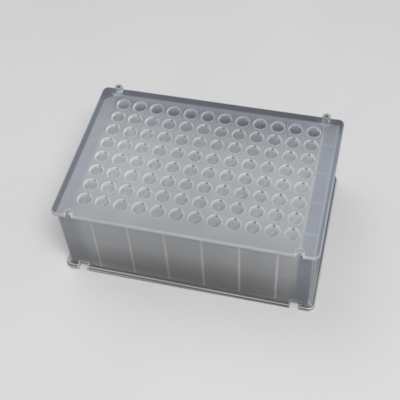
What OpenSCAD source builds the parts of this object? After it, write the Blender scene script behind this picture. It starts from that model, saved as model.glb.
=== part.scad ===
// Deep well plate with round wells, moulded in one piece.
// The wells hang as tubes from a flat deck, inside a tall skirt that stands on a wider foot.
// Millimetres, +Z up, columns along X, rows along Y with the first row at the back.
// Origin: centre of the footprint, on the plane that the foot stands on.

/* [Wells] */
// Number of columns of wells
cols = 12; // [4:2:14]
// Number of rows of wells
rows = 8; // [4:2:10]
// Spacing between well centres
pitch = 9; // [8.8:0.1:12]
// Bore of a well
well_d = 6.2; // [5:0.1:6.4]
// Wall of a well's tube
tube_wall = 0.6; // [0.4:0.05:0.9]
// Rounding of a well's lip
lip_r = 0.55; // [0.3:0.05:0.8]
// Diameter of the flat floor of a well
floor_d = 2.6; // [1.6:0.1:4]
// Thickness of that floor
floor_t = 0.8; // [0.5:0.05:1.4]
// Height over which a well narrows to its floor
taper_h = 3.2; // [1.5:0.1:8]
// Clearance between the tubes' tips and the plane that the foot stands on
tip_clearance = 3.6; // [2:0.1:8]

/* [Footprint and height] */
// Distance from the end columns' cells to the end of the foot
end_margin = 9.88; // [9:0.02:14]
// Distance from the side rows' cells to the side of the foot
side_margin = 6.74; // [6.4:0.02:12]
// Height from the foot's plane to the top of the deck
plate_h = 47; // [24:0.5:60]

/* [Deck] */
// Thickness of the deck
deck_t = 2.2; // [1.2:0.1:3]
// Width by which the deck stands out beyond the skirt
deck_overhang = 2; // [1.2:0.1:2.3]
// Corner radius of the deck
deck_r = 3.2; // [2:0.1:6]
// Rounding of the deck's edges
deck_edge_r = 0.5; // [0.2:0.05:0.55]

/* [Skirt] */
// Thickness of the skirt
skirt_wall = 1.3; // [1:0.1:2]
// Radius inside the skirt's corners
skirt_inner_r = 0.3; // [0.2:0.1:2]
// Leg of the chamfered corner beside the first well of the first row
key_chamfer = 4.6; // [3:0.1:6]

/* [Foot] */
// Height of the foot
foot_h = 2.6; // [2:0.1:5]
// Width by which the foot stands out beyond the skirt
foot_ledge = 2.35; // [1:0.05:3]
// Corner radius of the foot
foot_r = 3.2; // [2:0.1:6]
// Rounding of the foot's edges
foot_edge_r = 0.45; // [0.2:0.05:0.8]

/* [Well block] */
// Thickness of the flat wall round the block of tubes
block_wall = 0.8; // [0.6:0.05:1.2]
// Clearance between the outer cells and the outside of that wall
block_clearance = 0.5; // [0.3:0.05:1]
// Thickness of the stiffening grid under the deck
grid_t = 0.7; // [0.4:0.05:1]
// Depth of the stiffening grid under the deck
grid_depth = 4; // [2:0.5:12]

/* [Ribs] */
// Thickness of the ribs between the block and the skirt
rib_t = 1; // [0.6:0.1:1.6]
// Clearance between the ribs' lower ends and the top of the foot
rib_clearance = 0.6; // [0.2:0.1:4]

/* [Pegs and notches] */
// Distance from the end columns' well centres outwards to the pegs and the notches
peg_offset = 4.9; // [4:0.1:6]
// Diameter of a stacking peg
peg_d = 4.1; // [3:0.1:4.6]
// Height of a stacking peg above the deck
peg_h = 3.5; // [2:0.1:4]
// Hole in a stacking peg
peg_hole_d = 1.8; // [1:0.1:2.2]
// Depth of the hole in a stacking peg
peg_hole_depth = 3; // [1:0.1:3.4]
// Rounding of a peg's upper edge
peg_edge_r = 0.5; // [0.2:0.05:0.7]
// Clearance between a peg and the back edge of the deck
peg_inset = 0.3; // [0.1:0.05:0.4]
// Width of the notches in the deck's front edge
deck_notch_w = 3.4; // [2:0.1:4]
// Depth of the notches in the deck's front edge
deck_notch_depth = 4.2; // [3.6:0.1:4.8]
// Thickness of the collar round the inner end of each deck notch
collar_wall = 1; // [0.6:0.1:1.4]
// Height of the collar under the deck
collar_h = 5; // [2:0.5:10]
// Thickness of the floor of a deck notch behind the skirt
notch_floor_t = 1; // [0.6:0.1:1.8]
// Play between a peg and the notch in the foot above it
peg_play = 0.35; // [0.1:0.05:0.6]

/* [Hidden] */
$fn = 48;
overlap = 0.1;                                   // how far joined bodies reach into each other
cells_l = cols * pitch;
cells_w = rows * pitch;
foot_l = cells_l + 2 * end_margin;
foot_w = cells_w + 2 * side_margin;
skirt_l = foot_l - 2 * foot_ledge;
skirt_w = foot_w - 2 * foot_ledge;
inner_l = skirt_l - 2 * skirt_wall;
inner_w = skirt_w - 2 * skirt_wall;
skirt_r = skirt_inner_r + skirt_wall;
inner_chamfer = key_chamfer - skirt_wall * (2 - sqrt(2));
deck_l = skirt_l + 2 * deck_overhang;
deck_w = skirt_w + 2 * deck_overhang;
deck_z = plate_h - deck_t;
block_l = cells_l + 2 * block_clearance;
block_w = cells_w + 2 * block_clearance;
tube_d = well_d + 2 * tube_wall;
tip_d = floor_d + 2 * tube_wall;
tube_z = tip_clearance + taper_h;                // where the tubes begin to narrow
floor_z = tip_clearance + floor_t;               // floor of the wells
lip_edge = 0.03;                                 // how far a lip's rounding stops short of lying flat
lip_z = plate_h + lip_edge - lip_r;              // centre of that rounding
rib_z = foot_h + rib_clearance;
peg_x = cells_l / 2 - pitch / 2 + peg_offset;
peg_y = deck_w / 2 - peg_inset - peg_d / 2;
foot_notch_w = peg_d + 2 * peg_play;
foot_notch_h = peg_h + peg_play;

// One copy of the children at each well centre
module each_well() {
    for (i = [0 : cols - 1], j = [0 : rows - 1])
        translate([(i - (cols - 1) / 2) * pitch, (j - (rows - 1) / 2) * pitch, 0])
            children();
}

// Rectangle with round corners
module rounded_rectangle(l, w, r) {
    square([l - 2 * r, w], center = true);
    square([l, w - 2 * r], center = true);
    for (x = [-1, 1], y = [-1, 1])
        translate([x * (l / 2 - r), y * (w / 2 - r)])
            circle(r = r);
}

// The same with the back left corner cut at 45 degrees
module keyed_rectangle(l, w, r, leg) {
    difference() {
        rounded_rectangle(l, w, r);
        translate([-l / 2, w / 2])
            rotate(45)
                square([leg * sqrt(2), leg * sqrt(2)], center = true);
    }
}

// Section across a slab: all four edges are rounded
module slab_section(span, h, e) {
    translate([0, h / 2])
        rounded_rectangle(span, h, e);
}

// Flat slab with round corners and rounded edges, standing on Z = 0
module edged_slab(l, w, h, r, e) {
    translate([-(l / 2 - r), 0, 0])
        rotate([90, 0, 90])
            linear_extrude(l - 2 * r)
                slab_section(w, h, e);
    translate([0, w / 2 - r, 0])
        rotate([90, 0, 0])
            linear_extrude(w - 2 * r)
                slab_section(l, h, e);
    for (x = [-1, 1], y = [-1, 1])
        translate([x * (l / 2 - r), y * (w / 2 - r), 0])
            rotate_extrude()
                intersection() {
                    slab_section(2 * r, h, e);
                    square([r, h]);
                }
}

module deck() {
    translate([0, 0, deck_z])
        edged_slab(deck_l, deck_w, deck_t, deck_r, deck_edge_r);
}

module skirt() {
    linear_extrude(deck_z + deck_t / 2)
        keyed_rectangle(skirt_l, skirt_w, skirt_r, key_chamfer);
}

module foot() {
    edged_slab(foot_l, foot_w, foot_h, foot_r, foot_edge_r);
}

// The space inside the skirt, open below
module skirt_hollow() {
    translate([0, 0, -overlap])
        linear_extrude(deck_z + overlap)
            keyed_rectangle(inner_l, inner_w, skirt_inner_r, inner_chamfer);
}

// Flat wall round all the tubes
module block_frame() {
    translate([0, 0, tube_z])
        linear_extrude(deck_z - tube_z + overlap)
            difference() {
                square([block_l, block_w], center = true);
                square([block_l - 2 * block_wall, block_w - 2 * block_wall], center = true);
            }
}

// Grid of thin webs between the tubes, close under the deck
module stiffening_grid() {
    translate([0, 0, deck_z - grid_depth])
        linear_extrude(grid_depth + overlap) {
            for (i = [1 : cols - 1])
                translate([(i - cols / 2) * pitch, 0])
                    square([grid_t, block_w - block_wall], center = true);
            for (j = [1 : rows - 1])
                translate([0, (j - rows / 2) * pitch])
                    square([block_l - block_wall, grid_t], center = true);
        }
}

// Tube of one well, solid, with its tapered tip
module tube() {
    rotate_extrude()
        polygon([[0, tip_clearance], [tip_d / 2, tip_clearance], [tube_d / 2, tube_z],
                 [tube_d / 2, deck_z + overlap], [0, deck_z + overlap]]);
}

// Section of a bore, with a cone down to its floor and a rounded lip
module bore_section() {
    polygon([[0, floor_z], [floor_d / 2, floor_z], [well_d / 2, floor_z + taper_h],
             [well_d / 2, plate_h + overlap], [0, plate_h + overlap]]);
    translate([0, lip_z])
        difference() {
            square([well_d / 2 + lip_r, lip_r + overlap]);
            translate([well_d / 2 + lip_r, 0])
                circle(r = lip_r);
        }
}

// Space inside one well
module bore() {
    rotate_extrude()
        bore_section();
}

// Ribs that tie the block to the skirt, at every other cell boundary
module ribs() {
    translate([0, 0, rib_z])
        linear_extrude(deck_z - rib_z + overlap)
            difference() {
                union() {
                    for (i = [1 : 2 : cols - 1])
                        translate([(i - cols / 2) * pitch, 0])
                            square([rib_t, inner_w + skirt_wall], center = true);
                    for (j = [1 : 2 : rows - 1])
                        translate([0, (j - rows / 2) * pitch])
                            square([inner_l + skirt_wall, rib_t], center = true);
                }
                square([block_l - block_wall, block_w - block_wall], center = true);
            }
}

// Hollow stacking peg with a rounded upper edge
module peg() {
    translate([0, 0, deck_z + deck_t / 2])
        rotate_extrude()
            difference() {
                union() {
                    square([peg_d / 2, deck_t / 2 + peg_h - peg_edge_r]);
                    square([peg_d / 2 - peg_edge_r, deck_t / 2 + peg_h]);
                    translate([peg_d / 2 - peg_edge_r, deck_t / 2 + peg_h - peg_edge_r])
                        circle(r = peg_edge_r);
                }
                translate([0, deck_t / 2 + peg_h - peg_hole_depth])
                    square([peg_hole_d / 2, peg_hole_depth + overlap]);
            }
}

// Plan of a deck notch, grown by a wall: open to the front, with a round inner end
module notch_plan(wall) {
    d = deck_notch_w + 2 * wall;
    end_y = -deck_w / 2 + deck_notch_depth - deck_notch_w / 2;
    translate([0, end_y])
        circle(d = d);
    translate([-d / 2, end_y - deck_notch_depth])
        square([d, deck_notch_depth]);
}

// The part of that plan that lies behind a given line
module notch_plan_behind(wall, y) {
    intersection() {
        notch_plan(wall);
        translate([-deck_notch_w, y])
            square([2 * deck_notch_w, deck_notch_depth + wall]);
    }
}

// Collar under the deck round the inner end of a notch
module collar() {
    translate([0, 0, deck_z - collar_h])
        linear_extrude(collar_h + overlap)
            notch_plan_behind(collar_wall, -inner_w / 2 - skirt_wall / 2);
}

// Notch in the deck down to the top of the skirt; the collar is hollow under the notch's floor
module deck_notch() {
    translate([0, 0, deck_z])
        linear_extrude(deck_t + overlap)
            notch_plan(0);
    translate([0, 0, deck_z - collar_h - overlap])
        linear_extrude(collar_h - notch_floor_t + overlap)
            notch_plan_behind(0, -inner_w / 2);
}

// Notch through the foot and the skirt, which passes over the peg of a plate below
module foot_notch() {
    translate([-foot_notch_w / 2, -foot_w / 2 - overlap, -overlap])
        cube([foot_notch_w, foot_ledge + skirt_wall + 2 * overlap, foot_notch_h + overlap]);
}

module plate() {
    color([0.80, 0.82, 0.84])
    difference() {
        union() {
            difference() {
                union() {
                    skirt();
                    foot();
                }
                skirt_hollow();
                for (x = [-1, 1], turn = [0, 180])
                    rotate(turn)
                        translate([x * peg_x, 0, 0])
                            foot_notch();
            }
            deck();
            block_frame();
            stiffening_grid();
            ribs();
            each_well()
                tube();
            for (x = [-1, 1]) {
                translate([x * peg_x, peg_y, 0])
                    peg();
                translate([x * peg_x, 0, 0])
                    collar();
            }
        }
        each_well()
            bore();
        for (x = [-1, 1])
            translate([x * peg_x, 0, 0])
                deck_notch();
    }
}

plate();
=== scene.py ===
# %% [markdown]
# # A deep well plate in natural polypropylene
# The real object is one injection moulding: a flat deck with a grid of round wells, a tall skirt
# on a wider foot, and two hollow pegs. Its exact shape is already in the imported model, so this
# lesson keeps that mesh as it is and spends its effort on the plastic. Natural polypropylene is
# milky: light goes into it, and what lies behind a wall shows through as paler or darker zones.

import bpy
import numpy as np
from mathutils import Matrix, Vector


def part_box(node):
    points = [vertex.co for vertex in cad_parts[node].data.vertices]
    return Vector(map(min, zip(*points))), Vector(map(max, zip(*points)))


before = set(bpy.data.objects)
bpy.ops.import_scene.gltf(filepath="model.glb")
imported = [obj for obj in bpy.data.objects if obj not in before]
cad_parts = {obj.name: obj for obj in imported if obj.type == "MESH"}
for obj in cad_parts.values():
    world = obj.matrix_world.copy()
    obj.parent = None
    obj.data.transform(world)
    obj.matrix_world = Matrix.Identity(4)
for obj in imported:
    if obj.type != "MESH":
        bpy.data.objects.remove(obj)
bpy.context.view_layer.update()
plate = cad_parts["plate"]
low, high = (np.array(corner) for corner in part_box("plate"))
print("plate, mm:", np.round((high - low) * 1000, 2), "triangles:", len(plate.data.polygons))

# %% [markdown]
# ## Sizes that the finish needs
# The plastic is shaded by place: over the wells, over the hollow beside them, on the overhang. Those
# zones follow the moulding's own sizes, in millimetres. They could be measured on the mesh one by
# one, but as in a drawing a few driving sizes and the model's own box give all the others.

# %% Driving sizes, in millimetres
FOOT_X, FOOT_Y, PEG_TOP = np.round(high * 1000, 2).tolist()  # half length, half width, height
COLUMNS, ROWS, PITCH = 12, 8, 9.0
BORE_R = 3.1                             # bore of a well
FOOT_TOP = 2.6                           # upper face of the foot
LEDGE = 2.35                             # the foot stands out this far past the skirt
OVERHANG = 2.0                           # and the deck this far
CORNER_R = 3.2                           # corners of the deck and the foot
DECK_THICKNESS = 2.2
SKIRT_WALL = 1.3
KEY_LEG = 4.6                            # cut corner beside the first well
PEG_R, PEG_HEIGHT, PEG_PLAY = 2.05, 3.5, 0.35
NOTCH_R, NOTCH_DEPTH = 1.7, 4.2          # notches in the deck's front edge
print("foot, mm:", 2 * FOOT_X, "by", 2 * FOOT_Y, "and to the pegs' tips:", PEG_TOP)

# %% Sizes that follow from them
SKIRT_X, SKIRT_Y = FOOT_X - LEDGE, FOOT_Y - LEDGE                     # outside of the skirt
DECK_X, DECK_Y = SKIRT_X + OVERHANG, SKIRT_Y + OVERHANG               # outside of the deck
DECK_TOP = PEG_TOP - PEG_HEIGHT
DECK_UNDER = DECK_TOP - DECK_THICKNESS
BLOCK_X, BLOCK_Y = COLUMNS * PITCH / 2 + 0.5, ROWS * PITCH / 2 + 0.5  # wall round the tubes
PEG_X = (COLUMNS - 1) * PITCH / 2 + 4.9  # pegs and notches, from the middle
PEG_Y = DECK_Y - 0.3 - PEG_R
NOTCH_END_Y = NOTCH_DEPTH - NOTCH_R - DECK_Y  # centre of a deck notch's round inner end
FOOT_NOTCH_HALF, FOOT_NOTCH_TOP = PEG_R + PEG_PLAY, PEG_HEIGHT + PEG_PLAY
print("deck, mm:", round(2 * DECK_X, 2), "by", round(2 * DECK_Y, 2), "at", DECK_TOP)
hollow_sizes = [SKIRT_X - SKIRT_WALL - BLOCK_X, SKIRT_Y - SKIRT_WALL - BLOCK_Y]
print("hollow between the block and the skirt, mm:", np.round(hollow_sizes, 2))

# %% [markdown]
# ## The camera
# A long lens looks down steeply from the front, a little from the right, and is rolled by a few
# degrees, as in a hand. It could be aimed with a constraint, but that gives no roll. So its matrix
# is built from three axes: right, up and back. Back points from the plate to the lens.

# %% Place the camera
AZIMUTH, ELEVATION, ROLL = np.radians([17.377, 52.714, -4.612])
LENS_AT = (0.07139, -0.23598, 0.34269)
level = np.array([np.cos(AZIMUTH), np.sin(AZIMUTH), 0.0])
outwards = np.array([np.sin(AZIMUTH), -np.cos(AZIMUTH), 0.0])
back = np.cos(ELEVATION) * outwards + np.array([0.0, 0.0, np.sin(ELEVATION)])
upright = np.cross(back, level)
right = np.cos(ROLL) * level + np.sin(ROLL) * upright
up = -np.sin(ROLL) * level + np.cos(ROLL) * upright

camera = bpy.data.objects.new("camera", bpy.data.cameras.new("camera"))
camera.data.lens = 71.46
camera.data.sensor_width = 36.0
camera.data.clip_start = 0.01
pose = np.eye(4)
pose[:3, :3] = np.stack([right, up, back], axis=1)
pose[:3, 3] = LENS_AT
camera.matrix_world = Matrix(pose.tolist())
bpy.context.scene.collection.objects.link(camera)
bpy.context.scene.camera = camera
print("camera at", np.round(LENS_AT, 3))

# %% [markdown]
# ## The table it stands on
# A plain pale sheet, swept up far behind the object so that no horizon shows. A plane could be bent
# by hand, but one formula of two parameters gives a smooth sheet whose size is easy to change.


# %% A helper that turns a grid of points into a mesh
def grid_mesh(name, points):
    """Mesh of a surface given as points[i, j] = (x, y, z): each cell of the grid is one quad."""
    n, m = points.shape[:2]
    i, j = np.meshgrid(np.arange(n - 1), np.arange(m - 1), indexing="ij")
    first = (i * m + j).ravel()
    quads = np.stack([first, first + m, first + m + 1, first + 1], axis=1)
    mesh = bpy.data.meshes.new(name)
    mesh.from_pydata(points.reshape(-1, 3).tolist(), [], quads.tolist())
    mesh.polygons.foreach_set("use_smooth", np.ones(len(quads), dtype=bool))
    made = bpy.data.objects.new(name, mesh)
    bpy.context.scene.collection.objects.link(made)
    print(name, len(quads), "quads")
    return made


# %% Lay the sheet
def sheet_points(reach=1.6, flat=1.4, radius=0.5, rise=0.8):
    """Straight along x. Along the other parameter, s, which is the way along the sheet:
    flat to y = flat, then a quarter circle up, then straight up by rise."""
    quarter = radius * np.pi / 2
    x, s = np.meshgrid(np.linspace(-reach, reach, 12),
                       np.linspace(-reach, flat + quarter + rise, 90), indexing="ij")
    turn = np.clip((s - flat) / radius, 0, np.pi / 2)
    y = np.minimum(s, flat) + radius * np.sin(turn)
    z = radius * (1 - np.cos(turn)) + np.clip(s - flat - quarter, 0, None)
    return np.stack([x, y, z], axis=2)


floor = grid_mesh("floor", sheet_points())

# %% [markdown]
# ## Small words for material nodes
# Node trees read better as sums. Each helper below adds one node or two to the tree in hand, takes
# numbers or other outputs alike, and hands back its own output.

# %% The tree in hand
tree = None


def new_material(name):
    """An empty node material, whose tree is now the one in hand; returns it and its shader."""
    global tree
    material = bpy.data.materials.new(name)
    material.use_nodes = True
    tree = material.node_tree
    return material, tree.nodes["Principled BSDF"]


def plug(socket, value):
    """Links an output to a socket, or writes a number on it."""
    if isinstance(value, bpy.types.NodeSocket):
        tree.links.new(value, socket)
    else:
        socket.default_value = value


def noise(vector, scale, detail=2.0):
    """Soft noise between about 0.3 and 0.7; a larger scale gives smaller specks."""
    made = tree.nodes.new("ShaderNodeTexNoise")
    made.inputs["Scale"].default_value = scale
    made.inputs["Detail"].default_value = detail
    plug(made.inputs["Vector"], vector)
    return made.outputs["Fac"]


def grey_colour(red, green, blue):
    """A colour put together from three channels."""
    made = tree.nodes.new("ShaderNodeCombineColor")
    for socket, value in zip(made.inputs, (red, green, blue)):
        plug(socket, value)
    return made.outputs[0]


def tell(step):
    """Prints what was made and how far the tree in hand has grown."""
    print(step + ",", len(tree.nodes), "nodes so far")


print("materials can be started")


# %% Sums
def calc(operation, a, b=0.0, c=0.0):
    """One Math node."""
    made = tree.nodes.new("ShaderNodeMath")
    made.operation = operation
    for socket, value in zip(made.inputs, (a, b, c)):
        plug(socket, value)
    return made.outputs[0]


def add(a, b):
    """a + b"""
    return calc("ADD", a, b)


def less(a, b):
    """a - b"""
    return calc("SUBTRACT", a, b)


def times(a, b):
    """a * b"""
    return calc("MULTIPLY", a, b)


def most(a, b):
    """The larger of the two"""
    return calc("MAXIMUM", a, b)


def length(a, b):
    """Length of the vector (a, b)"""
    return calc("SQRT", calc("MULTIPLY_ADD", a, a, times(b, b)))


print("sums ready")


# %% Zones: 1 inside, 0 outside, soft between
def smooth(value, start, end, low_value=0.0, high_value=1.0):
    """Goes from low_value at start to high_value at end, softly, and stays there."""
    made = tree.nodes.new("ShaderNodeMapRange")
    made.interpolation_type = "SMOOTHSTEP"
    for key, number in (("Value", value), ("From Min", start), ("From Max", end),
                        ("To Min", low_value), ("To Max", high_value)):
        plug(made.inputs[key], number)
    return made.outputs[0]


def between(value, start, full, fade, end):
    """1 from full to fade, and 0 before start and past end."""
    return times(smooth(value, start, full), smooth(value, end, fade))


def near(value, place, outer, inner):
    """1 up to inner away from place, on both sides of it, and 0 from outer on."""
    return smooth(calc("ABSOLUTE", less(value, place)), outer, inner)


print("zones ready")


# %% Tones: 0 is black, 1 is white
def profile(value, stops):
    """A tone that follows stops = [(place, tone), ...], with straight stretches between them."""
    start, end = stops[0][0], stops[-1][0]
    span = tree.nodes.new("ShaderNodeMapRange")
    for key, number in (("Value", value), ("From Min", start), ("From Max", end)):
        plug(span.inputs[key], number)
    made = tree.nodes.new("ShaderNodeValToRGB")
    ramp = made.color_ramp
    while len(ramp.elements) < len(stops):
        ramp.elements.new(0.5)
    for element, (place, tone) in zip(ramp.elements, stops):
        element.position = (place - start) / (end - start)
        element.color = (tone, tone, tone, 1.0)
    plug(made.inputs["Fac"], span.outputs[0])
    return made.outputs[0]


def lay(under, zone, over):
    """over where zone is 1, and under where it is 0."""
    made = tree.nodes.new("ShaderNodeMix")
    made.data_type = "FLOAT"
    for socket, value in zip((made.inputs[0], made.inputs[2], made.inputs[3]), (zone, under, over)):
        plug(socket, value)
    return made.outputs[0]


def lift(tone, zone, amount):
    """tone + zone * amount"""
    return calc("MULTIPLY_ADD", zone, amount, tone)


def brighten(tone, zone, share):
    """tone * (1 + zone * share)"""
    return times(tone, lift(1.0, zone, share))


print("tones ready")

# %% [markdown]
# ## Pale paper for the table
# Nearly white, with a very faint mottle so that it isn't dead flat.

# %% Paper
paper, shader = new_material("pale_paper")
on_sheet = tree.nodes.new("ShaderNodeTexCoord").outputs["Object"]
grey = smooth(noise(on_sheet, 9.0), 0.3, 0.7, 0.69, 0.71)
plug(shader.inputs["Base Color"], grey_colour(grey, grey, grey))
shader.inputs["Roughness"].default_value = 0.9
shader.inputs["Specular IOR Level"].default_value = 0.2
floor.data.materials.append(paper)
tell("paper on the table")

# %% [markdown]
# ## Milky plastic: where a point is
# Natural polypropylene lets a little light through, so each face shows faintly what stands behind
# it. A volume inside the walls could show that by itself, but it renders slowly, with grain, and no
# tone in it could be set alone. So each zone is laid out by place, in millimetres, from Object
# coordinates, and has its own tone.

# %% Start the plastic
plastic, shader = new_material("natural_polypropylene")
to_mm = tree.nodes.new("ShaderNodeVectorMath")
to_mm.operation = "SCALE"
to_mm.inputs["Scale"].default_value = 1000.0
plug(to_mm.inputs[0], tree.nodes.new("ShaderNodeTexCoord").outputs["Object"])
point = to_mm.outputs[0]
axes = tree.nodes.new("ShaderNodeSeparateXYZ")
plug(axes.inputs[0], point)
x, y, z = axes.outputs
across = calc("ABSOLUTE", x)
along = calc("ABSOLUTE", y)
tell("the plastic knows its place")


# %% Distances in the moulding
def fold_every(value, step, start):
    """Signed distance from the nearest of the places start + k * step"""
    return less(calc("FLOORED_MODULO", add(value, step / 2 - start), step), step / 2)


def inside_outline(half_x, half_y, radius):
    """Distance in from the edge of a rectangle with round corners, true up to its corner radius"""
    past_x = most(less(across, half_x - radius), 0.0)
    past_y = most(less(along, half_y - radius), 0.0)
    return less(radius, length(past_x, past_y))


def ends(left, right):
    """A value that goes from left, at the plate's left end, to right, at its right end"""
    return smooth(x, -50.0, 50.0, left, right)


beyond_x, beyond_y = less(across, SKIRT_X), less(along, SKIRT_Y)
on_end = smooth(less(beyond_x, beyond_y), -0.3, 0.3)
deck_rim = inside_outline(DECK_X, DECK_Y, CORNER_R)
foot_rim = inside_outline(FOOT_X, FOOT_Y, CORNER_R)

# Place inside one cell of the grid, from its well's axis; wells stand half a pitch off the centre
cell_x, cell_y = fold_every(x, PITCH, PITCH / 2), fold_every(y, PITCH, PITCH / 2)
from_axis = length(cell_x, cell_y)
from_border = less(PITCH / 2, calc("ABSOLUTE", cell_x))
in_grid = smooth(most(less(across, BLOCK_X), less(along, BLOCK_Y)), 0.2, -0.2)
depth = less(DECK_TOP, z)
notch_x = fold_every(x, 2 * PEG_X, PEG_X)
tell("distances ready")

# %% [markdown]
# ## Tones of the deck
# Over the tubes the deck looks pale, because light comes back from them. The hollow beside them is
# cooler, and a cut corner and the overhang, with nothing behind them, are darkest. The skirt's and
# the ribs' upper edges show as pale lines, a little nearer to the front than they are. All this could
# be painted on a picture for the deck, but zones worked out from place stay sharp at any distance.

# %% Deck over the tubes and over the hollow
over_block = profile(y, [(-42, 0.600), (-36, 0.615), (-27, 0.643), (0, 0.656), (9, 0.648),
                         (18, 0.62), (27, 0.565), (31.5, 0.505), (36, 0.495), (42, 0.49)])
over_hollow = profile(y, [(-42, 0.59), (-30, 0.61), (0, 0.605), (18, 0.60),
                          (26, 0.575), (33, 0.55), (37, 0.518), (42, 0.50)])
hollow = most(smooth(x, BLOCK_X - 0.3, BLOCK_X + 0.9), smooth(x, 1.5 - BLOCK_X, -1.0 - BLOCK_X))
hollow = most(hollow, smooth(y, BLOCK_Y - 1.9, BLOCK_Y + 0.1))
deck_tone = lay(over_block, hollow, over_hollow)
deck_tone = times(deck_tone, profile(x, [(-60, 0.985), (-54, 0.98), (-48, 1.004), (-25, 1.006), (0, 0.972),
                                         (20, 0.99), (50, 1.012), (57, 0.985), (60, 0.985)]))
back_right = times(between(x, 36.0, 45.0, 54.0, 57.0), smooth(y, 20.0, 27.0))
deck_tone = lift(deck_tone, back_right, 0.03)
tell("deck toned")

# %% Pale lines where ribs, skirt and block meet the deck from below
RIB_SHIFT = 3.0                          # how far nearer to the front the ribs are seen
rib_line = near(fold_every(y, 2 * PITCH, PITCH - RIB_SHIFT), 0.0, 0.95, 0.3)
rib_line = times(rib_line, between(x, BLOCK_X + 0.3, BLOCK_X + 0.9, SKIRT_X - 1.33, SKIRT_X - 0.73))
skirt_line = between(x, SKIRT_X - 1.23, SKIRT_X - 0.73, SKIRT_X - 0.23, SKIRT_X + 0.27)
block_line = between(x, BLOCK_X - 1.2, BLOCK_X - 0.8, BLOCK_X, BLOCK_X + 0.4)
pale_line = most(times(rib_line, 0.033), most(times(skirt_line, 0.04), times(block_line, 0.035)))
deck_tone = add(deck_tone, pale_line)
tell("lines drawn")

# %% Overhang and cut corner
# How far in from the outside of the skirt the dark reaches; at the cut corner along x or y
SHADE_LEFT, SHADE_BACK, SHADE_CUT = 1.18, 2.34, 3.9
cut_corner = times(less(less(y, x), SKIRT_X + SKIRT_Y - KEY_LEG - SHADE_CUT), np.sqrt(0.5))
past_skirt = most(less(SHADE_LEFT - SKIRT_X, x), most(less(y, SKIRT_Y - SHADE_BACK), cut_corner))
overhang = most(smooth(past_skirt, -0.45, 0.45), smooth(x, SKIRT_X - 0.18, SKIRT_X + 0.52))
overhang_tone = lay(profile(x, [(-60, 0.41), (60, 0.507)]), smooth(y, 30.0, 38.0), 0.34)
deck_tone = lay(deck_tone, overhang, overhang_tone)
deck_tone = lay(deck_tone, smooth(y, -41.3, -42.3), 0.635)
tell("overhang toned")

# %% Painted highlight along the deck's edge
# It is dimmer at the back of the right end, and brighter beside the pegs, where the deck round them gets
# painted light too
edge_highlight = smooth(times(smooth(x, 60.0, 62.0), smooth(y, 2.0, 15.0)), 0.0, 1.0, 0.66, 0.55)
near_peg = times(near(across, PEG_X, 6.5, 2.5), smooth(y, 38.4, 39.2))
deck_tone = lift(deck_tone, near_peg, 0.05)
edge_highlight = lift(edge_highlight, near_peg, 0.16)
edge_highlight = smooth(y, -36.0, -41.0, edge_highlight, 0.635)
deck_tone = lay(deck_tone, smooth(deck_rim, 0.80, 0.40), edge_highlight)
tell("edge drawn")

# %% Stiffening webs under the deck
# Painted light and shade: a pale line on each cell's border between two darker voids, plainest at the back,
# as the webs show through the deck
web = times(smooth(from_border, 0.75, 0.25, -0.035, 0.035), smooth(from_border, 1.1, 0.8))
web_strength = profile(y, [(-40, 0.0), (5, 0.15), (20, 0.7), (34, 1.0), (37, 0.3), (40, 0.0)])
web_strength = times(web_strength, smooth(x, -40.0, 15.0, 0.3, 1.0))
deck_tone = lift(deck_tone, web, times(web_strength, in_grid))

# Between two wells of a row the deck is painted a little darker, as shade; round the wells of the back rows
# it is painted paler, as light
neck = times(near(cell_y, 0.0, 3.4, 1.4), smooth(from_border, 1.7, 0.7))
neck = times(times(neck, in_grid), smooth(y, 5.0, 14.0))
deck_tone = lift(deck_tone, neck, smooth(x, 8.0, 30.0, -0.034, -0.004))
halo = times(times(smooth(from_axis, 4.8, 3.9), in_grid), smooth(cell_y, 0.8, -1.2))
deck_tone = lift(deck_tone, halo, smooth(y, 14.0, 28.0, 0.006, 0.045))
tell("webs toned")

# %% Painted highlights beside the notches in the front edge
# Painted highlights along both sides of a notch, most on its right, where light gathers in the plastic
right_side = times(near(notch_x, NOTCH_R + 0.1, 0.65, 0.15), smooth(y, -39.0, -40.6))
left_side = times(near(notch_x, -0.1 - NOTCH_R, 0.75, 0.15), smooth(y, -38.0, -39.6))
deck_tone = lift(deck_tone, right_side, ends(0.13, 0.19))
deck_tone = lift(deck_tone, left_side, ends(0.03, 0.06))
tell("notches toned")

# %% [markdown]
# ## Tones of the wells
# The rounded lips catch the light as thin rings, made brighter by painted highlights. Inside, the row at the
# back has dark space behind its walls and looks darker than the rows that have lit tubes behind them, as
# painted shade. A small dark spot in each lip is a painted gap in its reflection.

# %% Inside the bores
# Painted shade in the back rows, and painted light and shade by depth and by side inside each bore
bore_tone = profile(y, [(-28, 0.868), (-19, 0.882), (-1, 0.880), (8, 0.872),
                        (17, 0.842), (26, 0.782), (32, 0.735), (36, 0.72)])
by_depth = profile(depth, [(1.5, 1.06), (2.0, 1.03), (2.8, 1.0), (4.0, 1.02), (6.0, 1.08), (11.0, 1.12)])
by_depth_back = profile(depth, [(1.5, 1.16), (1.7, 1.08), (1.9, 1.0), (2.2, 1.01), (2.6, 1.08), (3.1, 1.05),
                                (3.5, 0.985), (4.2, 0.965), (5.5, 0.95), (8.0, 0.95), (11.0, 0.92)])
bore_tone = times(bore_tone, lay(by_depth, smooth(y, 21.0, 33.0), by_depth_back))
by_side = profile(cell_x, [(-3.2, 0.956), (-1.2, 0.976), (-0.2, 1.03), (0.65, 1.096),
                           (1.3, 1.166), (1.8, 1.21), (2.2, 1.24), (3.2, 1.25)])
by_side_back = profile(cell_x, [(-3.2, 0.94), (-1.5, 0.95), (0, 1.0), (1.2, 1.08), (2.2, 1.16), (3.2, 1.16)])
bore_tone = times(bore_tone, lay(by_side, smooth(y, 26.5, 33.0), by_side_back))
tell("bores toned")
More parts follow.
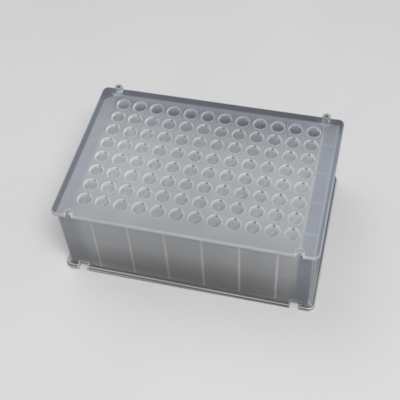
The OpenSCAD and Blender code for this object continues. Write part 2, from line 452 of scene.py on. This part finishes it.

# %% Bores from column to column
# Painted light and shade from column to column, with painted light at the front right and in the first well
by_column = profile(x, [(-50, 1.0), (-40.5, 1.045), (-31.5, 1.015), (-22.5, 0.993), (-13.5, 0.98),
                        (20, 0.972), (31.5, 0.985), (40.5, 1.01), (49.5, 1.025)])
bore_tone = times(bore_tone, by_column)
front_right = times(smooth(x, 8.0, 42.0), smooth(y, 0.0, -14.0))
bore_tone = brighten(bore_tone, front_right, 0.02)
first_well = times(smooth(x, -43.0, -47.0), smooth(y, 25.0, 29.0))
bore_tone = brighten(bore_tone, first_well, 0.09)
inside_bore = times(smooth(depth, 0.65, 1.05), smooth(from_axis, BORE_R + 0.2, BORE_R + 0.1))
inside_bore = times(inside_bore, in_grid)
tell("columns toned")

# %% Lips: near half and far half
# The near half of a lip is painted a shade paler than the deck round it, the far half carries a painted
# highlight
band_start = smooth(cell_x, -0.5, -1.6, 0.0, 0.65)
lip_band = times(smooth(add(depth, band_start), 1.85, 1.4), smooth(from_axis, BORE_R + 0.62, BORE_R + 0.4))
lip_band = times(lip_band, in_grid)
far_side = smooth(lift(cell_y, cell_x, -0.45), -1.6, 0.9)
lip_near = times(deck_tone, profile(y, [(-40, 1.09), (8, 1.095), (19, 1.13), (28, 1.20), (40, 1.20)]))
lip_far = profile(y, [(-36, 0.74), (-27, 0.755), (-9, 0.772), (5, 0.772),
                      (14, 0.76), (23, 0.735), (32, 0.68)])
lip_far = times(lip_far, smooth(cell_x, -3.0, 3.0, 1.02, 0.98))
lip_tone = lay(lip_near, far_side, lip_far)
lip_tone = times(lip_tone, smooth(depth, 0.38, 0.75, 1.0, 1.16))
tell("lips toned")

# %% Lips: left side
# Each zone is painted brighter or darker by a share, as light and shade, and more so in some rows or columns
# than in others
lip_tone = brighten(lip_tone, smooth(x, -28.0, -40.0), 0.035)
far_left = times(times(smooth(cell_x, -1.2, -2.0), smooth(cell_y, 1.5, 2.3)), smooth(x, -27.0, -42.0))
lip_tone = brighten(lip_tone, far_left, -0.07)
whole_left = times(smooth(cell_x, -1.6, -2.8), smooth(x, -20.0, -40.0))
lip_tone = brighten(lip_tone, whole_left, 0.07)
left_in_back_rows = times(times(smooth(cell_x, -2.0, -3.0), between(cell_y, -2.0, -0.8, 1.2, 2.2)),
                          smooth(y, 16.0, 31.0))
lip_tone = brighten(lip_tone, left_in_back_rows, 0.12)
tell("left sides toned")

# %% Lips: right side and outer edge
# Painted highlights on the right of each lip, and painted shade on the outer edge of the far side in the
# back row
near_end = smooth(y, 10.0, 26.0, 0.8, 0.0)
whole_right = times(times(smooth(cell_x, 0.3, 2.4), smooth(cell_y, 2.2, 1.0)),
                    smooth(cell_y, -1.2, -0.1, near_end, 1.0))
lip_tone = brighten(lip_tone, whole_right, smooth(y, 10.0, 30.0, 0.11, 0.19))
right_band = times(smooth(cell_x, 0.6, 1.6), smooth(depth, 0.35, 0.7))
lip_tone = brighten(lip_tone, right_band, smooth(y, 8.0, 25.0, 0.18, 0.27))
outer_edge = times(times(smooth(from_axis, 3.15, 3.45), smooth(cell_x, -2.6, -0.8)), far_side)
lip_tone = brighten(lip_tone, times(outer_edge, smooth(y, 27.0, 32.0)), -0.09)
tell("right sides toned")

# %% Dark spots in the lips: painted gaps in their reflection
# A painted gap in the lip's reflection near the back of each well, with painted light to its right on the
# right half
spot_x, spot_y = smooth(x, -52.0, 52.0, 0.80, 0.08), smooth(y, 0.0, -26.0, 3.10, 3.32)
from_spot = length(less(cell_x, spot_x), times(less(cell_y, spot_y), 1.1))
spot_outer, spot_inner = smooth(x, 15.0, 45.0, 0.75, 0.85), smooth(x, 15.0, 45.0, 0.38, 0.45)
spot = times(smooth(from_spot, spot_outer, spot_inner), smooth(depth, 1.0, 0.8))
spot = times(spot, smooth(y, 28.5, 27.5))
spot_tone = profile(x, [(-50, 0.60), (-31, 0.555), (-13, 0.54), (5, 0.535),
                        (22, 0.51), (40, 0.55), (50, 0.56)])
right_of_spot = times(near(cell_x, 1.5, 1.1, 0.4), smooth(cell_y, 1.7, 2.3))
lip_tone = brighten(lip_tone, right_of_spot, smooth(x, 15.0, 42.0, 0.0, 0.09))
lip_tone = lay(lip_tone, spot, spot_tone)
tell("spots toned")

# %% [markdown]
# ## Tones of the skirt and the foot
# The skirt is painted darker towards its foot, as shade, where less light reaches the hollow behind it. The
# ribs behind it show through as narrow pale stripes, and the corners beside the block are painted cooler and
# darker, as shade.

# %% Long sides of the skirt
wall_tone = profile(z, [(0, 0.63), (3, 0.61), (4, 0.54), (5, 0.49), (7, 0.437), (9, 0.425), (13, 0.457),
                        (17, 0.493), (21, 0.533), (25, 0.58), (29, 0.60), (33, 0.617), (37, 0.633),
                        (41, 0.67), (47, 0.68)])
wall_tone = times(wall_tone, profile(x, [(-50, 1.015), (-40, 1.025), (-20, 0.985), (0, 0.965), (14, 0.945),
                                         (24, 0.985), (34, 0.965), (50, 1.02)]))
low_down = profile(x, [(-52, 1.0), (-47, 1.08), (-43, 1.05), (-36, 1.02), (-28, 1.0), (0, 0.965),
                       (30, 0.985), (40, 1.02), (49, 1.11), (52, 1.06)])
wall_tone = times(wall_tone, lay(1.0, smooth(z, 30.0, 14.0), low_down))
tell("long sides toned")

# %% Corners of the skirt, beyond the block
corner_tone = profile(z, [(0, 0.53), (3, 0.525), (8, 0.438), (13, 0.448),
                          (25, 0.498), (33, 0.525), (47, 0.555)])
corner_tone = times(corner_tone, smooth(x, -20.0, 20.0, smooth(z, 10.0, 28.0, 1.02, 1.06), 1.0))
beside_front = most(smooth(x, 6.5 - BLOCK_X, -BLOCK_X), smooth(x, BLOCK_X - 1.5, BLOCK_X + 0.7))
beside_block = lay(beside_front, on_end, smooth(along, BLOCK_Y - 1.5, BLOCK_Y + 0.7))
wall_tone = lay(wall_tone, beside_block, corner_tone)
tell("corners toned")

# %% Ends of the skirt
# Painted light and shade on the ends: paler low down, darker higher up at the front, and a little darker
# towards the back
end_share = profile(z, [(0, 1.19), (9, 1.18), (15, 1.12), (25, 1.05), (47, 1.03)])
end_share_front = profile(z, [(0, 1.22), (9, 1.21), (15, 1.07), (21, 0.95), (27, 0.88), (33, 0.83),
                              (41, 0.86), (47, 0.95)])
end_share = lay(end_share, smooth(y, -17.0, -25.0), end_share_front)
end_share = times(end_share, smooth(y, 10.0, 34.0, 1.0, 0.93))
wall_tone = times(wall_tone, lay(1.0, on_end, end_share))
tell("ends toned")


# %% Ribs behind the skirt
def rib_stripe(value, extent, limit):
    """1 on the middle of a rib, 0 beside it; ribs are at every other cell border, up to limit"""
    stripe = near(fold_every(value, 2 * PITCH, PITCH), 0.0, 0.88, 0.22)
    return times(stripe, smooth(extent, limit + 0.3, limit - 0.3))


# Seen through the front, the ribs spread a little and lean
seen_x = times(less(x, smooth(z, 8.0, 42.0, -0.20, 0.05)), 1.0075)
by_rib = profile(x, [(-50, 0.93), (-27, 0.95), (-9, 1.0), (9, 1.12), (27, 1.25), (50, 1.38)])
stripe = times(rib_stripe(seen_x, across, BLOCK_X - PITCH / 2), by_rib)
stripe = lay(stripe, on_end, rib_stripe(y, along, BLOCK_Y - PITCH / 2))
by_height = profile(z, [(0, 0.0), (2.7, 0.0), (3.2, 0.12), (10, 0.108), (15, 0.118), (24, 0.118),
                        (36, 0.085), (47, 0.08)])
wall_tone = lift(wall_tone, stripe, by_height)
tell("ribs toned")

# %% Edges of the skirt: upright corners, foot and foot notches
# Painted light up the upright corners and just above the foot, painted shade low on the right, and a painted
# highlight round each foot notch
upright_edge = smooth(calc("MINIMUM", beyond_x, beyond_y), ends(-1.0, -1.5), ends(-0.4, -0.7))
wall_tone = lift(wall_tone, upright_edge, smooth(z, 11.0, 3.0, 0.09, ends(0.17, 0.23)))
low_right = times(smooth(z, 6.5, 4.5), smooth(x, 5.0, 25.0))
wall_tone = brighten(wall_tone, low_right, -0.06)
above_foot = times(times(smooth(z, 5.2, 3.4), smooth(across, 56.5, 59.5)), less(1.0, on_end))
wall_tone = lift(wall_tone, above_foot, ends(0.03, 0.08))
past_notch = most(less(calc("ABSOLUTE", notch_x), FOOT_NOTCH_HALF), less(z, FOOT_NOTCH_TOP))
notch_rim = times(smooth(past_notch, 0.85, 0.45), smooth(beyond_y, -1.8, -1.2))
wall_tone = lay(wall_tone, notch_rim, ends(0.80, 0.67))
tell("skirt toned")

# %% Foot
# It carries two painted highlights: one on its upper edge, one along its lower half; its front right corner
# gets a painted glint
line_shift = smooth(x, -40.0, 64.0, 0.26, -0.46)
ledge_tone = profile(less(foot_rim, line_shift), [(-0.3, 0.42), (0.12, 0.43), (0.38, 0.76), (0.80, 0.76),
                                                  (1.02, 0.43), (1.3, 0.40), (1.9, 0.42), (2.4, 0.50)])
ledge_tone = lay(ledge_tone, times(on_end, smooth(foot_rim, 0.9, 1.3)), smooth(y, -5.0, -30.0, 0.56, 0.62))
ledge_tone = times(ledge_tone, smooth(x, -59.0, -54.0, 0.92, smooth(x, -40.0, 10.0, 1.0, 0.92)))
ledge_tone = brighten(ledge_tone, smooth(x, 56.0, 60.0), 0.09)
side_tone = profile(less(z, line_shift), [(0, 0.42), (0.5, 0.46), (0.9, 0.66), (1.5, 0.66), (1.8, 0.38),
                                          (2.3, 0.36), (2.6, 0.40)])
side_tone = times(side_tone, profile(x, [(-64, 1.06), (-60, 1.15), (-56, 1.15), (-30, 1.06), (-5, 0.93),
                                         (30, 0.90), (52, 0.90), (59, 1.10), (64, 1.12)]))
foot_tone = lay(side_tone, smooth(foot_rim, 0.06, 0.16), ledge_tone)
right_corner_glint = times(smooth(x, 60.0, 62.0), smooth(y, -39.5, -41.5))
foot_tone = brighten(foot_tone, right_corner_glint, 0.20)
foot_tone = lay(foot_tone, notch_rim, ends(0.74, 0.61))
foot_zone = smooth(z, FOOT_TOP + 0.12, FOOT_TOP - 0.02)
tell("foot toned")

# %% Outer face of the deck
# Painted light and shade on the deck's outer face: by depth, darker at both ends, with a painted highlight
# beside each notch
deck_side = smooth(deck_rim, 0.25, 0.05)
deck_side_tone = profile(depth, [(0.0, 0.70), (0.4, 0.722), (0.8, 0.742), (1.2, 0.745),
                                 (1.6, 0.712), (2.0, 0.678), (2.2, 0.672)])
at_right_end = profile(y, [(-42, 0.86), (-36, 0.88), (5, 0.87), (18, 0.79), (42, 0.80)])
deck_side_tone = times(deck_side_tone, smooth(x, 60.5, 62.5, 1.0, at_right_end))
deck_side_tone = brighten(deck_side_tone, smooth(x, -60.5, -62.0), -0.23)
notch_corner = times(near(notch_x, NOTCH_R + 0.3, 0.7, 0.3), smooth(depth, 2.0, 1.0))
notch_corner = times(notch_corner, smooth(y, -38.0, -40.0))
deck_side_tone = lift(deck_side_tone, notch_corner, 0.12)
tell("deck's outer face toned")

# %% Notches in the deck
# The floor of a notch has a darker patch of painted shade, and its wall is painted palest a little right of
# the middle, as light
from_notch = length(notch_x, most(less(y, NOTCH_END_Y), 0.0))
in_notch = times(smooth(from_notch, NOTCH_R + 0.07, NOTCH_R + 0.02), smooth(y, -38.0, -38.1))
from_notch_shade = length(less(notch_x, ends(-1.2, 0.1)), times(less(y, -40.4), 0.7))
notch_floor = smooth(from_notch_shade, 0.4, 1.5, ends(0.63, 0.55), ends(0.80, 0.75))
notch_floor = lift(notch_floor, smooth(notch_x, 0.3, 1.0), ends(0.05, 0.18))
notch_wall = profile(notch_x, [(-1.7, 0.72), (-1.2, 0.78), (-0.6, 0.77), (0, 0.82), (0.8, 0.84),
                               (1.3, 0.80), (1.7, 0.76)])
notch_wall = lift(notch_wall, times(smooth(notch_x, -1.1, -1.5), smooth(y, -39.8, -41.2)), 0.17)
notch_tone = lay(notch_floor, smooth(z, DECK_UNDER + 0.02, DECK_UNDER + 0.15), notch_wall)
tell("deck notches toned")

# %% Pegs
# Painted light and shade: a peg's sides are pale, the right one's middle is darker, and the rim and the core
# are dimmer
from_peg = length(less(across, PEG_X), less(y, PEG_Y))
left_peg = lay(0.98, near(across, PEG_X, 1.9, 1.3), 0.84)
right_peg = profile(less(x, PEG_X), [(-2.1, 0.95), (-1.4, 0.92), (-0.8, 0.66), (0.9, 0.58),
                                    (1.45, 0.84), (2.1, 0.95)])
peg_side = lay(left_peg, smooth(x, -20.0, 20.0), right_peg)
peg_rim = smooth(z, PEG_TOP - 0.4, PEG_TOP, ends(0.58, 0.53), 0.63)
peg_rim = lay(peg_rim, smooth(y, PEG_Y - 0.5, PEG_Y - 1.1), ends(0.57, 0.50))
peg_tone = lay(peg_side, smooth(z, PEG_TOP - 1.2, PEG_TOP - 0.4), peg_rim)
peg_tone = lay(peg_tone, smooth(from_peg, 1.05, 0.90), 0.61)
on_peg = smooth(z, DECK_TOP + 0.02, DECK_TOP + 0.12)
# Painted light on the deck in front of each peg, against the shade at its foot
before_peg = times(smooth(from_peg, 4.6, 2.9), smooth(y, 38.9, 37.9))
tell("pegs toned")

# %% [markdown]
# ## Putting the tones together
# The zones are laid over each other from the bottom up: wall, foot, deck, bores, lips, pegs. A broad,
# faint mottle breaks them up, as thickness and flow do in a real moulding.

# %% Tone of the whole plate
at_deck = smooth(z, DECK_UNDER - 0.15, DECK_UNDER + 0.05)
tone = lay(wall_tone, foot_zone, foot_tone)
tone = lay(tone, at_deck, deck_tone)
tone = lay(tone, times(at_deck, times(before_peg, 0.85)), ends(0.685, 0.65))
tone = lay(tone, times(at_deck, deck_side), deck_side_tone)
tone = lay(tone, times(at_deck, in_notch), notch_tone)
tone = lay(tone, inside_bore, bore_tone)
tone = lay(tone, lip_band, lip_tone)
tone = lay(tone, on_peg, peg_tone)
tone = times(tone, smooth(noise(point, 0.06, 3.0), 0.3, 0.7, 0.985, 1.015))
tell("tones put together")

# %% How cool the tone is
# 0 is neutral and 1 is bluest; the plastic turns cooler where little light comes back through it
cool_deck = profile(y, [(-42, 0.02), (0, 0.05), (18, 0.12), (27, 0.25), (31.5, 0.45), (42, 0.5)])
cool_deck = lay(cool_deck, hollow, ends(0.48, 0.62))
cool_deck = lay(cool_deck, overhang, ends(1.0, 0.75))
cool_deck = times(cool_deck, smooth(y, -42.0, -32.0, 0.25, 1.0))
cool_corner = smooth(x, -20.0, 20.0, smooth(z, 6.0, 20.0, 0.15, 0.45), 0.60)
cool_wall = times(times(beside_block, cool_corner), less(1.0, foot_zone))
cool_bore = profile(y, [(-40, 0.0), (5, 0.05), (16, 0.12), (25, 0.17), (34, 0.28), (40, 0.28)])
cool_wall = lay(cool_wall, inside_bore, cool_bore)
cool = times(lay(cool_wall, at_deck, cool_deck), lay(1.0, on_peg, 0.2))
tell("coolness ready")

# %% Base colour
# The tones are written as they look; the shader wants them linear, which Gamma does
red, green, blue = (times(tone, lay(neutral, cool, cold))
                    for neutral, cold in ((0.99, 0.95), (1.0, 1.0), (1.012, 1.10)))
linear = tree.nodes.new("ShaderNodeGamma")
linear.inputs["Gamma"].default_value = 2.2
plug(linear.inputs["Color"], grey_colour(red, green, blue))
plug(shader.inputs["Base Color"], linear.outputs[0])
tell("base colour done")

# %% [markdown]
# ## Sheen and surface
# Moulded polypropylene has a soft satin gloss and a very fine waviness. Light spreads a few
# millimetres inside it, which the shader's subsurface part gives.

# %% Surface of the plastic
haze = noise(point, 0.35, 4.0)
plug(shader.inputs["Roughness"], smooth(haze, 0.3, 0.7, 0.30, 0.40))
ripple = tree.nodes.new("ShaderNodeBump")
ripple.inputs["Strength"].default_value = 0.12
ripple.inputs["Distance"].default_value = 0.0001
plug(ripple.inputs["Height"], haze)
plug(shader.inputs["Normal"], ripple.outputs["Normal"])
shader.inputs["IOR"].default_value = 1.49
shader.inputs["Subsurface Weight"].default_value = 0.7
shader.inputs["Subsurface Radius"].default_value = (1.0, 1.0, 1.1)
shader.inputs["Subsurface Scale"].default_value = 0.0025
for slot in plate.material_slots:
    slot.material = plastic
tell("plastic on the plate")

# %% [markdown]
# ## Soft studio light
# One broad lamp overhead and to the right gives most of the light, a weaker one fills from the back
# left, and a pale world keeps the shadows open. A picture of a room could light it as well, but three
# plain sources are easier to follow. A white card laid flat would come out just below white.


# %% Lamps
def soft_lamp(name, place, aim, size, watts):
    """A square area lamp at place that faces aim."""
    lamp = bpy.data.objects.new(name, bpy.data.lights.new(name, "AREA"))
    lamp.data.size = size
    lamp.data.energy = watts
    lamp.location = place
    lamp.rotation_euler = (Vector(aim) - Vector(place)).to_track_quat("-Z", "Y").to_euler()
    bpy.context.scene.collection.objects.link(lamp)
    print(name, watts, "W")


soft_lamp("key", (0.30, -0.40, 1.0), (0, 0, 0.03), 0.5, 8.0)
soft_lamp("fill", (-0.5, 0.4, 0.9), (0, 0, 0.03), 0.9, 3.0)

# %% World
# The backdrop is pale to the camera and in reflections, and lights the plate less than it looks
world = bpy.data.worlds.new("pale_room")
world.use_nodes = True
bpy.context.scene.world = world
tree = world.node_tree
air = tree.nodes["Background"]
air.inputs["Color"].default_value = (1.0, 1.0, 1.0, 1.0)
rays = tree.nodes.new("ShaderNodeLightPath").outputs
seen = most(rays["Is Camera Ray"], most(rays["Is Glossy Ray"], rays["Is Transmission Ray"]))
plug(air.inputs["Strength"], lay(0.28, seen, 0.70))
bpy.context.scene.view_settings.view_transform = "Standard"
tell("world ready")
